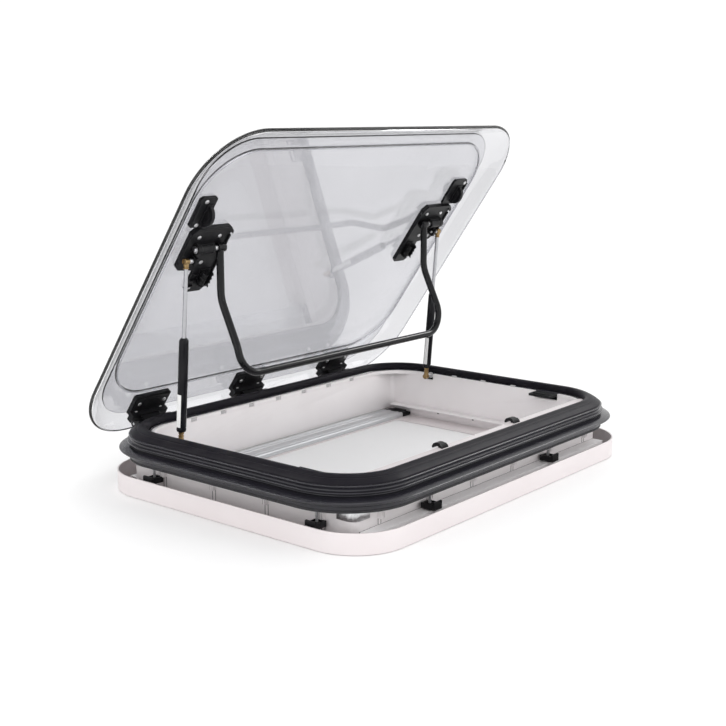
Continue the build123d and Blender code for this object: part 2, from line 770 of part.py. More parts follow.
def strut_guide(side):
    """The rod guide and seal in the tube's mouth."""
    guide = rod_z(0, 0, TUBE_END, GUIDE_END, STRUT_TUBE)
    guide += rod_z(0, 0, TUBE_END - 6, TUBE_END, STRUT_BORE)
    guide -= rod_z(0, 0, TUBE_END - 7, GUIDE_END + 1, STRUT_ROD + PIN_CLEARANCE)
    return on_strut(side, guide)


def strut_lower_socket(side):
    """Brass ball cup screwed to the tube's foot."""
    cup = rod_x(-CUP_HALF, CUP_HALF, 0, 0, CUP)
    neck = rod_z(0, 0, 0, TUBE_START, NECK)
    socket = cup + neck - Sphere(BALL + PIN_CLEARANCE)
    socket -= rod_x(0, side * (CUP_HALF + 1), 0, 0, STUD + 0.2)
    return on_strut(side, socket)


def strut_rod(side):
    """The polished strut rod."""
    return on_strut(side, rod_z(0, 0, ROD_START, STRUT_LENGTH - SOCKET_LENGTH, STRUT_ROD))


def strut_piston(side):
    """The piston on the rod's inner end."""
    piston = rod_z(0, 0, ROD_START - PISTON, ROD_START, STRUT_BORE - PIN_CLEARANCE)
    return on_strut(side, piston)


def strut_upper_socket(side):
    """Brass end fitting on the rod."""
    eye = Pos(0, 0, STRUT_LENGTH) * rod_x(-CUP_HALF, CUP_HALF, 0, 0, CUP)
    neck = rod_z(0, 0, STRUT_LENGTH - SOCKET_LENGTH, STRUT_LENGTH, NECK)
    return on_strut(side, eye + neck)


# ---- write every node --------------------------------------------------------------------------
def write_frame():
    """Nodes that stay with the roof."""
    save("outer_frame", outer_frame())
    save("roof_gasket", roof_gasket())
    save("lip_seal", lip_seal())
    save("inner_frame", inner_frame())
    save("ceiling_trim", ceiling_trim())
    save("snap_clips", *snap_clips())
    save("clamp_brackets", *clamp_brackets())
    save("clamp_screws", *clamp_screws())
    save("corner_brackets", *corner_brackets())
    save("blind_rail_left", blind_rail(-1))
    save("blind_rail_right", blind_rail(1))
    save("rail_screws", *rail_screws())
    save("blackout_pocket", pleat_pocket(1, CLEAR_Y + 0.2, WALL_FOOT))
    save("screen_pocket", pleat_pocket(-1, CLEAR_Y + WALL + 0.2, SCREEN_GAP_TOP))
    save("hinge_bases", *hinge_bases())
    save("hinge_base_screws", *hinge_base_screws())
    save("hinge_pins", *hinge_pins())
    save("catch_receiver_left", catch_receiver(-1))
    save("catch_receiver_right", catch_receiver(1))
    save("bail_hooks", *bail_hooks())
    save("strut_frame_studs", *strut_frame_studs())


def write_blinds():
    """The two blinds: bar, end caps and folded cloth."""
    save("blackout_bar", blind_bar(BLACKOUT_Z, 1))
    save("blackout_bar_caps", *bar_caps(BLACKOUT_Z, 1))
    save("blackout_cloth", pleats(BLACKOUT_Z, 1))
    save("screen_bar", blind_bar(SCREEN_Z, -1))
    save("screen_bar_caps", *bar_caps(SCREEN_Z, -1))
    save("screen_cloth", pleats(SCREEN_Z, -1))


def write_lid():
    """Nodes that swing with the lid."""
    save("lid_outer_dome", outer_dome())
    save("lid_inner_pane", inner_pane())
    for name, x in zip(("left", "middle", "right"), HINGE_X):
        save("hinge_leaf_" + name, hinge_leaf(x))
    save("hinge_leaf_screws", *hinge_leaf_screws())
    for name, side in (("left", -1), ("right", 1)):
        save("lid_bracket_" + name, lid_bracket(side))
        save("bail_clip_" + name, bail_clip(side))
        save("lid_catch_" + name, lid_catch(side))
        save("lid_ball_stud_" + name, lid_ball_stud(side))
    save("bracket_screws", *bracket_screws())
    save("catch_screws", *catch_screws())


def write_movers():
    """The bail and the gas struts."""
    save("bail_tube", bail())
    save("bail_pivot_pins", *bail_pivot_pins())
    for name, side in (("left", -1), ("right", 1)):
        save("strut_tube_" + name, strut_tube(side))
        save("strut_guide_" + name, strut_guide(side))
        save("strut_lower_socket_" + name, strut_lower_socket(side))
        save("strut_rod_" + name, strut_rod(side))
        save("strut_piston_" + name, strut_piston(side))
        save("strut_upper_socket_" + name, strut_upper_socket(side))


write_frame()
write_blinds()
write_lid()
write_movers()
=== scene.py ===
"""Deck hatch with its lid open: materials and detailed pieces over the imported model.

Metres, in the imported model's frame: X along the hinge side, +Y to the hinges, +Z up.
Lid pieces are shaped with the lid shut, in the CAD's own places, and then turned open.
"""
import json
import math

import bmesh
import bpy
from mathutils import Matrix, Vector


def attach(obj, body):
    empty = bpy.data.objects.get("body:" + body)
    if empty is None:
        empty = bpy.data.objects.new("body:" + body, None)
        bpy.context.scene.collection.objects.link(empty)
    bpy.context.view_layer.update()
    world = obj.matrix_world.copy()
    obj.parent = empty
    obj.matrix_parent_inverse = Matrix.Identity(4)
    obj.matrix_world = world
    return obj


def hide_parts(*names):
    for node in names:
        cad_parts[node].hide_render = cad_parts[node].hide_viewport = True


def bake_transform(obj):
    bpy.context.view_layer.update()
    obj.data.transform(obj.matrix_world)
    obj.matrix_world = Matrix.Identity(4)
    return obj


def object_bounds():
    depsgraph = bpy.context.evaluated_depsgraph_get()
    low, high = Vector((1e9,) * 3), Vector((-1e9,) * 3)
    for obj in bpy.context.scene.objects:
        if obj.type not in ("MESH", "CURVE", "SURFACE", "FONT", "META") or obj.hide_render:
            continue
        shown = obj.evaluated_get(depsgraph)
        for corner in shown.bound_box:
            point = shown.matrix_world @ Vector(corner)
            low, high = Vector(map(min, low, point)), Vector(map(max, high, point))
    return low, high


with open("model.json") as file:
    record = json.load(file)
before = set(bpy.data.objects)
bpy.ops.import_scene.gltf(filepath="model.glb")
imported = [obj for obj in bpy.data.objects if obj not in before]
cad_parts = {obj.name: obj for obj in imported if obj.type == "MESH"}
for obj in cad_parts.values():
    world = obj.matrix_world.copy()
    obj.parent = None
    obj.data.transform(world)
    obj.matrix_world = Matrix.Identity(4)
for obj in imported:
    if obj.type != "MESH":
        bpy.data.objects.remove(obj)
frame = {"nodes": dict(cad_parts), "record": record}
cad_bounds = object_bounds()
nodes = frame["nodes"]
slots = {part["node"]: part["material_slot"] for part in frame["record"]["subparts"]}
bodies = {
    node: body
    for body, members in frame["record"]["behaviour"]["bodies"].items()
    for node in members
}

MM = 0.001
HINGE = Vector((0.0, 0.310, 0.087))
OPEN_ANGLE = 55      # how far the stored lid stands open, in degrees
OPEN = (
    Matrix.Translation(HINGE)
    @ Matrix.Rotation(math.radians(-OPEN_ANGLE), 4, "X")
    @ Matrix.Translation(-HINGE)
)
SIDES = (("left", -1), ("right", 1))
BEVEL_FROM = 32      # edges sharper than this are rounded, in degrees
ROUND_STEPS = 28     # steps round a quarter turn of the large rounded outlines
CORNER_STEPS = 4     # steps round a corner of a swept section
CURVE_PARTS = 5      # levels made between two given levels of the dome


# ---- materials --------------------------------------------------------------------------------
class Shader:
    """A Principled material whose detail is added one layer at a time."""

    def __init__(self, name, color, roughness, metallic=0.0, **sockets):
        self.material = bpy.data.materials.new(name)
        self.material.use_nodes = True
        self.tree = self.material.node_tree
        self.bsdf = self.tree.nodes["Principled BSDF"]
        self.color = (*color, 1.0)
        self.bsdf.inputs["Base Color"].default_value = self.color
        self.bsdf.inputs["Roughness"].default_value = roughness
        self.bsdf.inputs["Metallic"].default_value = metallic
        for socket, value in sockets.items():
            self.bsdf.inputs[socket.replace("_", " ")].default_value = value
        self.height = None

    def node(self, kind, **values):
        """A new node with its sockets set by name."""
        made = self.tree.nodes.new(kind)
        for name, value in values.items():
            made.inputs[name.replace("_", " ")].default_value = value
        return made

    def noise(self, scale, detail=3.0, stretch=(1, 1, 1)):
        """Noise in object space, stretched along the axes."""
        place = self.tree.nodes.new("ShaderNodeTexCoord")
        mapping = self.node("ShaderNodeMapping", Scale=stretch)
        noise = self.node("ShaderNodeTexNoise", Scale=scale, Detail=detail)
        self.tree.links.new(place.outputs["Object"], mapping.inputs["Vector"])
        self.tree.links.new(mapping.outputs["Vector"], noise.inputs["Vector"])
        return noise.outputs["Fac"]

    def mottle(self, other, scale, low=0.35, high=0.65, stretch=(1, 1, 1)):
        """Let the base colour drift towards another colour."""
        ramp = self.tree.nodes.new("ShaderNodeValToRGB")
        ramp.color_ramp.elements[0].position = low
        ramp.color_ramp.elements[0].color = self.color
        ramp.color_ramp.elements[1].position = high
        ramp.color_ramp.elements[1].color = (*other, 1.0)
        self.tree.links.new(self.noise(scale, 4.0, stretch), ramp.inputs["Fac"])
        self.tree.links.new(ramp.outputs["Color"], self.bsdf.inputs["Base Color"])
        return self

    def uneven_gloss(self, low, high, scale, stretch=(1, 1, 1)):
        """Let the roughness drift between two values."""
        spread = self.node("ShaderNodeMapRange", To_Min=low, To_Max=high)
        self.tree.links.new(self.noise(scale, 3.0, stretch), spread.inputs["Value"])
        self.tree.links.new(spread.outputs["Result"], self.bsdf.inputs["Roughness"])
        return self

    def grain(self, scale, strength, distance, stretch=(1, 1, 1)):
        """Add a layer of fine relief."""
        bump = self.node("ShaderNodeBump", Strength=strength, Distance=distance)
        self.tree.links.new(self.noise(scale, 2.0, stretch), bump.inputs["Height"])
        if self.height:
            self.tree.links.new(self.height, bump.inputs["Normal"])
        self.tree.links.new(bump.outputs["Normal"], self.bsdf.inputs["Normal"])
        self.height = bump.outputs["Normal"]
        return self


def make_materials():
    """Every material by its record slot, with a few that only show here."""
    made = {}
    lining = Shader("lining_white", (0.87, 0.84, 0.845), 0.38)
    lining.mottle((0.84, 0.805, 0.81), 9).uneven_gloss(0.32, 0.46, 60)
    made["white_lining"] = lining.grain(1400, 0.10, 0.0002)
    shadow = Shader("slot_shadow", (0.20, 0.185, 0.19), 0.6)
    made["slot_shadow"] = shadow.grain(1400, 0.1, 0.0002)
    # a whiter copy of the lining white for the blind pockets: painted light that lifts the shade
    # under the flange
    pocket = Shader("pocket_painted_light", (0.97, 0.95, 0.955), 0.5)
    made["pocket_painted_light"] = pocket.grain(1400, 0.1, 0.0002)
    clip = Shader("clip_grey", (0.47, 0.46, 0.465), 0.4)
    made["clip_grey"] = clip.grain(1400, 0.1, 0.0002)
    trim = Shader("trim_white", (0.74, 0.69, 0.695), 0.40)
    trim.mottle((0.72, 0.665, 0.67), 6).uneven_gloss(0.30, 0.42, 40)
    made["white_trim"] = trim.grain(1600, 0.08, 0.0002)
    extrusion = Shader("frame_black", (0.014, 0.0135, 0.018), 0.22, Specular_IOR_Level=0.42)
    extrusion.mottle((0.018, 0.017, 0.023), 25).uneven_gloss(0.19, 0.26, 90)
    made["black_frame"] = extrusion.grain(900, 0.10, 0.0002)
    gasket = Shader("gasket_foam", (0.030, 0.029, 0.033), 0.8)
    gasket.mottle((0.020, 0.020, 0.023), 120)
    made["grey_gasket"] = gasket.grain(1800, 0.5, 0.0004)
    seal = Shader("seal_rubber", (0.009, 0.008, 0.012), 0.42, Specular_IOR_Level=0.08)
    seal.mottle((0.013, 0.012, 0.015), 30).uneven_gloss(0.38, 0.48, 70)
    made["black_rubber"] = seal.grain(1200, 0.12, 0.0002)
    nylon = Shader("nylon_black", (0.006, 0.006, 0.0075), 0.38, Specular_IOR_Level=0.21)
    nylon.mottle((0.011, 0.011, 0.012), 80).uneven_gloss(0.33, 0.50, 150)
    made["black_plastic"] = nylon.grain(2200, 0.25, 0.0002)
    zinc = Shader("zinc_screws", (0.66, 0.66, 0.67), 0.30, 1.0)
    zinc.mottle((0.52, 0.52, 0.53), 300).uneven_gloss(0.22, 0.40, 500)
    made["zinc_steel"] = zinc.grain(3000, 0.06, 0.0001)
    dark = Shader("dark_screws", (0.05, 0.045, 0.042), 0.42, 0.8)
    dark.mottle((0.09, 0.08, 0.075), 400)
    made["dark_steel"] = dark.grain(3000, 0.08, 0.0001)
    bar = Shader("bar_aluminium", (0.62, 0.625, 0.64), 0.50, 0.7)
    bar.mottle((0.54, 0.545, 0.56), 60, stretch=(0.04, 1, 1))
    bar.uneven_gloss(0.46, 0.56, 700, stretch=(0.02, 1, 1))
    made["anodised_aluminium"] = bar.grain(2600, 0.10, 0.0001, stretch=(0.01, 1, 1))
    cloth = Shader("blind_cloth", (0.76, 0.76, 0.75), 0.85, Sheen_Weight=0.3)
    cloth.mottle((0.70, 0.70, 0.69), 200)
    made["blind_cloth"] = cloth.grain(2500, 0.3, 0.0002)
    mesh = Shader("screen_mesh", (0.06, 0.06, 0.062), 0.7, Sheen_Weight=0.2)
    mesh.mottle((0.10, 0.10, 0.10), 900)
    made["screen_mesh"] = mesh.grain(3000, 0.4, 0.0002)
    tube = Shader("tube_black", (0.004, 0.004, 0.005), 0.13, Specular_IOR_Level=0.22)
    tube.mottle((0.006, 0.006, 0.007), 50).uneven_gloss(0.10, 0.18, 120)
    made["black_coated_tube"] = tube.grain(1100, 0.06, 0.0001)
    enamel = Shader("strut_black", (0.004, 0.004, 0.006), 0.16, Specular_IOR_Level=0.12)
    enamel.mottle((0.013, 0.013, 0.015), 40)
    made["black_enamel"] = enamel.grain(900, 0.05, 0.0001)
    brass = Shader("socket_brass", (0.36, 0.25, 0.12), 0.30, 1.0)
    brass.mottle((0.24, 0.16, 0.075), 350).uneven_gloss(0.22, 0.38, 400)
    made["brass"] = brass.grain(2600, 0.08, 0.0001)
    rod = Shader("rod_chrome", (0.46, 0.46, 0.48), 0.07, 1.0)
    rod.mottle((0.40, 0.40, 0.42), 200)
    made["polished_steel"] = rod.grain(2000, 0.03, 0.0001)
    # near-black finish for the screw heads' crosses: painted shade of the recesses
    recess = Shader("screw_recess", (0.05, 0.05, 0.05), 0.6, 0.6)
    made["recess"] = recess.grain(3000, 0.1, 0.0001)
    paper = Shader("label_paper", (0.80, 0.80, 0.79), 0.45)
    paper.mottle((0.74, 0.74, 0.74), 150)
    made["label"] = paper.grain(1500, 0.1, 0.0001)
    acrylic = Shader("acrylic_tint", (0.79, 0.79, 0.81), 0.02, IOR=1.49,
                     Transmission_Weight=1.0)
    acrylic.mottle((0.765, 0.765, 0.785), 5).uneven_gloss(0.01, 0.03, 12)
    made["tinted_acrylic"] = acrylic.grain(6, 0.03, 0.001)
    return {slot: shader.material for slot, shader in made.items()}


materials = make_materials()


# ---- mesh helpers -----------------------------------------------------------------------------
def place(piece, node_names, finish=None):
    """Stand a finished piece in for CAD nodes, on their body and in their finish."""
    first = node_names[0]
    slot = slots[first]
    piece.data.materials.clear()
    piece.data.materials.append(materials[finish or slot])
    # second finish: painted recess shade for the screw heads' crosses
    piece.data.materials.append(materials["recess"])
    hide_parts(*node_names)
    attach(piece, bodies[first])
    return piece


def mesh_object(name, vertices, faces, smooth=True):
    """A linked mesh object with outward normals."""
    mesh = bpy.data.meshes.new(name)
    mesh.from_pydata([tuple(v) for v in vertices], [], faces)
    form = bmesh.new()
    form.from_mesh(mesh)
    bmesh.ops.recalc_face_normals(form, faces=form.faces)
    for face in form.faces:
        face.smooth = smooth
    form.to_mesh(mesh)
    form.free()
    made = bpy.data.objects.new(name, mesh)
    bpy.context.scene.collection.objects.link(made)
    return made


def round_edges(piece, width):
    """Round the sharp edges of a piece."""
    bevel = piece.modifiers.new("round_edges", "BEVEL")
    bevel.width = width
    bevel.segments = 2
    bevel.limit_method = "ANGLE"
    bevel.angle_limit = math.radians(BEVEL_FROM)
    bevel.harden_normals = True
    return piece


def refined(node, bevel, finish=None):
    """A copy of a CAD node with welded faces and rounded edges."""
    mesh = nodes[node].data.copy()
    form = bmesh.new()
    form.from_mesh(mesh)
    bmesh.ops.remove_doubles(form, verts=form.verts, dist=1e-6)
    bmesh.ops.dissolve_limit(form, angle_limit=math.radians(0.5), verts=form.verts,
                             edges=form.edges)
    for face in form.faces:
        face.smooth = True
    form.to_mesh(mesh)
    form.free()
    piece = bpy.data.objects.new(node + "_fine", mesh)
    bpy.context.scene.collection.objects.link(piece)
    round_edges(piece, bevel)
    return place(piece, [node], finish)


def rounded_outline(half_x, half_y, radius, centre_y=0.0):
    """Points and outward directions round a rounded rectangle, anticlockwise."""
    outline = []
    corners = ((1, 1, 0), (-1, 1, 90), (-1, -1, 180), (1, -1, 270))
    for side_x, side_y, first in corners:
        middle = Vector((side_x * (half_x - radius), side_y * (half_y - radius) + centre_y))
        for step in range(ROUND_STEPS + 1):
            turn = math.radians(first + 90 * step / ROUND_STEPS)
            outward = Vector((math.cos(turn), math.sin(turn)))
            outline.append((middle + radius * outward, outward))
    return outline


def rounded_section(points, radius):
    """A closed section with its corners rounded, each by as much as its sides allow."""
    rounded = []
    count = len(points)
    for index, point in enumerate(points):
        here = Vector(point)
        before = Vector(points[index - 1]) - here
        after = Vector(points[(index + 1) % count]) - here
        cut = min(radius, before.length * 0.45, after.length * 0.45)
        start = here + before.normalized() * cut
        end = here + after.normalized() * cut
        for step in range(CORNER_STEPS + 1):
            t = step / CORNER_STEPS
            rounded.append(start * (1 - t) ** 2 + here * 2 * t * (1 - t) + end * t * t)
    return rounded


def swept_ring(name, section, half_x, half_y, radius, soften):
    """A closed (outward, height) section swept round a rounded rectangle."""
    profile = rounded_section(section, soften)
    outline = rounded_outline(half_x, half_y, radius)
    vertices = []
    for point, outward in outline:
        for out, height in profile:
            flat = point + outward * out
            vertices.append((flat.x, flat.y, height))
    across = len(profile)
    around = len(outline)
    faces = []
    for i in range(around):
        for j in range(across):
            a = i * across
            b = (i + 1) % around * across
            k = (j + 1) % across
            faces.append((a + j, b + j, b + k, a + k))
    return mesh_object(name, vertices, faces)


def in_metres(section):
    """A section or profile given in millimetres, in metres."""
    return [(out * MM, height * MM) for out, height in section]


def mirrored(outline, side):
    """An (x, y) outline on the right, or its mirror image on the left."""
    return [(side * x, y) for x, y in outline]


class Form:
    """Closed shapes gathered into one mesh."""

    def __init__(self):
        self.mesh = bmesh.new()

    def prism(self, outline, low, high, matrix=Matrix.Identity(4)):
        """A flat plate from an (x, y) outline; outline and heights in millimetres."""
        rings = []
        for height in (low, high):
            spots = [matrix @ (Vector((x, y, height)) * MM) for x, y in outline]
            rings.append([self.mesh.verts.new(spot) for spot in spots])
        count = len(outline)
        self.mesh.faces.new(rings[0])
        self.mesh.faces.new(rings[1])
        for i in range(count):
            k = (i + 1) % count
            self.mesh.faces.new((rings[0][i], rings[0][k], rings[1][k], rings[1][i]))

    def lathe(self, profile, matrix, segments):
        """A (radius, height) profile turned about the matrix's Z; ends may be on the axis."""
        rows = []
        for radius, height in profile:
            if radius == 0:
                rows.append([self.mesh.verts.new(matrix @ Vector((0, 0, height)))])
                continue
            row = []
            for step in range(segments):
                turn = 2 * math.pi * step / segments
                spot = Vector((radius * math.cos(turn), radius * math.sin(turn), height))
                row.append(self.mesh.verts.new(matrix @ spot))
            rows.append(row)
        for low, high in zip(rows, rows[1:]):
            for step in range(segments):
                k = (step + 1) % segments
                corners = [low[step % len(low)], low[k % len(low)],
                           high[k % len(high)], high[step % len(high)]]
                unique = list(dict.fromkeys(corners))
                if len(unique) > 2:
                    self.mesh.faces.new(unique)
        for row in (rows[0], rows[-1]):
            if len(row) > 1:
                self.mesh.faces.new(row)

    def recess(self, matrix, half, slot, height):
        """One bar of a screw's cross, laid flat just above the top of its head in the second
        finish: painted shade of the recess.
        """
        high = height * 1.01
        spots = [(-half, -slot), (half, -slot), (half, slot), (-half, slot)]
        top = [self.mesh.verts.new(matrix @ Vector((x, y, high))) for x, y in spots]
        face = self.mesh.faces.new(top)
        face.material_index = 1

    def piece(self, name, bevel, transform=None):
        """The gathered shapes as one object, with its sharp edges rounded."""
        bmesh.ops.recalc_face_normals(self.mesh, faces=self.mesh.faces)
        mesh = bpy.data.meshes.new(name)
        for face in self.mesh.faces:
            face.smooth = True
        self.mesh.to_mesh(mesh)
        self.mesh.free()
        if transform:
            mesh.transform(transform)
        made = bpy.data.objects.new(name, mesh)
        bpy.context.scene.collection.objects.link(made)
        if bevel:
            round_edges(made, bevel)
        else:
            mesh.set_sharp_from_angle(angle=math.radians(40))
        return made


def joined(parts, name):
    """Several mesh objects as one."""
    first = parts[0]
    form = bmesh.new()
    for part in parts:
        form.from_mesh(part.data)
    form.to_mesh(first.data)
    form.free()
    for part in parts[1:]:
        bpy.data.objects.remove(part)
    first.name = name
    return first


def level_points(levels, centre):
    """Points round each of some rounded rectangles, given in millimetres."""
    points = []
    for half_x, half_y, radius, height in levels:
        outline = rounded_outline(half_x * MM, half_y * MM, radius * MM, centre * MM)
        points.extend((point.x, point.y, height * MM) for point, outward in outline)
    return points


def banded(points, rows, closed):
    """Faces between successive rows of points, and from the last to the first if closed."""
    count = len(points) // rows
    faces = []
    for row in range(rows if closed else rows - 1):
        a = row * count
        b = (row + 1) % rows * count
        for i in range(count):
            k = (i + 1) % count
            faces.append((a + i, a + k, b + k, b + i))
    return faces


def stacked(name, levels, centre):
    """A lid solid through rounded rectangles, flat at both ends."""
    points = level_points(levels, centre)
    count = len(points) // len(levels)
    faces = banded(points, len(levels), False)
    faces.append(tuple(range(count)))
    faces.append(tuple(range(len(points) - count, len(points))))
    made = mesh_object(name, points, faces)
    made.data.set_sharp_from_angle(angle=math.radians(20))
    made.data.transform(OPEN)
    return made


def stacked_band(name, levels, centre):
    """A lid ring through rounded rectangles, closed from the last back to the first."""
    points = level_points(levels, centre)
    made = mesh_object(name, points, banded(points, len(levels), True))
    made.data.set_sharp_from_angle(angle=math.radians(50))
    made.data.transform(OPEN)
    return made


# ---- roof frame and seal ----------------------------------------------------------------------
COLLAR = (0.348, 0.237, 0.073)    # half width, half depth and corner radius


def roof_frame():
    """Ribbed collar with drip ridge and roof flange, foam strip under it, lip seal on it."""
    section = in_metres([
        (6, 91), (6, 95), (8, 97), (41, 97), (42.4, 96.2), (42.4, 95), (41, 94.2),
        (40.2, 92.6), (39.4, 90.4), (40.2, 88.6), (44.4, 87.3), (45, 86.6), (45, 85.6),
        (44, 85), (40, 84.4), (39, 82.8), (39, 80.8), (41, 80), (50, 78), (56.6, 76),
        (58.4, 75), (58.6, 74), (58.2, 73.1), (57.2, 72.8), (57, 72.2), (56.4, 71.8),
        (50, 71), (43, 70.2), (42, 69.4), (41.6, 66),
        (42, 65.4), (42, 60), (33, 60), (33, 63), (36, 63), (36, 93), (10, 93), (10, 91),
    ])
    ring = swept_ring("roof_frame_ribbed", section, *COLLAR, 0.0009)
    place(ring, ["outer_frame"])
    foot = in_metres([(33, 56), (42, 56), (42, 60), (33, 60)])
    place(swept_ring("roof_gasket_foam", foot, *COLLAR, 0.0006), ["roof_gasket"])
    lip = in_metres([
        (10, 97), (10, 103), (12, 107), (15.5, 108.8), (20, 109), (25, 107.2), (28, 105.6),
        (28.8, 104.6), (30, 104.6), (35, 101.6), (38.6, 99), (40, 97),
    ])
    place(swept_ring("lip_seal_bulb", lip, *COLLAR, 0.002), ["lip_seal"])


roof_frame()


RIB_X = (-296, -176, -56, 64, 184, 304)
RIB_Y = (-183, -68, 47, 162)
WALL_X = 353.0       # outer faces of the lining's walls, in millimetres
WALL_Y = 243.0


def lining_extra(piece, finish):
    """Finish a piece that is moulded on the lining."""
    piece.data.materials.append(materials[finish])
    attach(piece, "frame")


def rib_strips(form, gaps, width, sunk, proud, levels_y, levels_x):
    """Upright strips beside every outside rib, on the long walls and then the short ones."""
    for x in RIB_X:
        for side in (-1, 1):
            near, far = side * (WALL_Y - sunk), side * (WALL_Y + proud)
            for gap in gaps:
                form.prism([(x + gap, near), (x + gap + width, near),
                            (x + gap + width, far), (x + gap, far)], *levels_y)
    for y in RIB_Y:
        for side in (-1, 1):
            near, far = side * (WALL_X - sunk), side * (WALL_X + proud)
            for gap in gaps:
                form.prism([(near, y + gap), (near, y + gap + width),
                            (far, y + gap + width), (far, y + gap)], *levels_x)


def lining_details():
    """Fins and thin dark strips of painted slot shade beside the ribs, and the front ledge that
    the hooks stand on.
    """
    fins = Form()
    rib_strips(fins, (-4.2, 3.2), 1, 0.4, 7, (34, 59.6), (34, 59.6))
    lining_extra(fins.piece("lining_fins", 0), "white_lining")
    # thin dark strips just proud of the wall beside the fins: painted shade where slots between
    # lining panels would be
    dark = Form()
    rib_strips(dark, (-3.9, 2.7), 1.2, 0.5, 0.3, (24.5, 59), (15, 59))
    lining_extra(dark.piece("lining_slot_shade", 0), "slot_shadow")
    ledge = Form()
    ledge.prism([(-344, -239), (344, -239), (346, -236), (336, -217), (331, -214),
                 (-331, -214), (-336, -217), (-346, -236)], 94.6, 97.4)
    for x in range(-300, 301, 60):
        ledge.prism([(x - 4, -238.6), (x + 4, -238.6), (x + 4, -233), (x - 4, -233)], 97, 99)
    lining_extra(ledge.piece("lining_ledge", 0.0005), "white_trim")


lining_details()


# ---- lid --------------------------------------------------------------------------------------
DOME = [
    (92, 415, -307, 327, 115), (96, 414.5, -306.5, 326.5, 114.5),
    (105, 402, -298, 324, 106), (115, 386, -286, 318, 98),
    (124, 366, -270, 305, 88), (131, 338, -244, 280, 75),
    (135.5, 300, -206, 243, 60), (138, 250, -157, 195, 45),
]


def smooth_levels(levels):
    """More levels between the given ones, on a smooth curve through them."""
    points = [levels[0], *levels, levels[-1]]
    curve = []
    for index in range(1, len(points) - 2):
        for part in range(CURVE_PARTS):
            t = part / CURVE_PARTS
            row = []
            for a, b, c, d in zip(*points[index - 1:index + 3]):
                row.append(0.5 * (2 * b + (c - a) * t + (2 * a - 5 * b + 4 * c - d) * t * t
                                  + (3 * b - a - 3 * c + d) * t ** 3))
            curve.append(tuple(row))
    curve.append(levels[-1])
    return curve


def shell(name, levels, wall):
    """A thin dome: outer and inner skins through the levels, joined round the rim."""
    rows = []
    for z, half_x, front, back, radius in levels:
        rows.append((z * MM, half_x * MM, front * MM, back * MM, radius * MM))
    inner_rows = []
    for z, half_x, front, back, radius in rows:
        inner_rows.append((z - wall, half_x - wall, front + wall, back - wall, radius - wall))
    inner_rows[0] = (rows[0][0], *inner_rows[0][1:])
    vertices = []
    loops = inner_rows[::-1] + rows
    for z, half_x, front, back, radius in loops:
        middle = (front + back) / 2
        outline = rounded_outline(half_x, (back - front) / 2, radius, middle)
        vertices.extend((point.x, point.y, z) for point, outward in outline)
    count = len(vertices) // len(loops)
    faces = banded(vertices, len(loops), False)
    faces.append(tuple(range(count)))
    faces.append(tuple(range(len(vertices) - count, len(vertices))))
    dome = mesh_object(name, vertices, faces)
    dome.data.set_sharp_from_angle(angle=math.radians(50))
    dome.data.transform(OPEN)
    return dome


def pane_skin():
    """The flat inner pane with the formed rib that lands on the seal."""
    centre = 17.0
    half_y = 291.0
    rings = [
        (357, half_y - 13, 73, 114), (370, half_y, 86, 114), (370.6, half_y + 0.6, 86.6, 114.6),
        (370.6, half_y + 0.6, 86.6, 116.9), (370, half_y, 86, 117.5),
        (350, half_y - 20, 66, 117.5),
    ]
    plate = stacked("lid_pane_plate", rings, centre)
    rib = stacked_band("lid_pane_rib", [
        (364.5, 253.5, 91.5, 114.2), (364.9, 253.9, 91.9, 110.1), (365.6, 254.6, 92.6, 109.6),
        (367.9, 256.9, 94.9, 109.6), (368.6, 257.6, 95.6, 110.1), (369, 258, 96, 114.2),
    ], 1.5)
    return joined([plate, rib], "lid_pane_skin")


def lid_skins():
    """The two acrylic skins of the lid."""
    place(shell("lid_dome_skin", smooth_levels(DOME), 3.2 * MM), ["lid_outer_dome"])
    place(pane_skin(), ["lid_inner_pane"])


lid_skins()


# ---- screws -----------------------------------------------------------------------------------
def pan_head(form, matrix, radius, height):
    """A domed screw head with its cross recess as painted shade, its top towards the matrix's +Z.
    """
    profile = [(radius, 0), (radius, height * 0.35), (radius * 0.93, height * 0.62),
               (radius * 0.72, height * 0.88), (radius * 0.45, height), (0, height)]
    form.lathe(profile, matrix, 24)
    half = radius * 0.52
    slot = radius * 0.13
    for turn in (0, 90):
        bar = matrix @ Matrix.Rotation(math.radians(turn + 20), 4, "Z")
        form.recess(bar, half, slot, height)


def lid_screws(name, node, places, seat):
    """Pan heads under the shut lid, at (x, y) places in millimetres."""
    form = Form()
    for x, y in places:
        turn = Matrix.Rotation(math.pi, 4, "X")
        pan_head(form, Matrix.Translation((x * MM, y * MM, seat * MM)) @ turn,
                 3.8 * MM, 2 * MM)
    place(form.piece(name, 0, OPEN), [node])


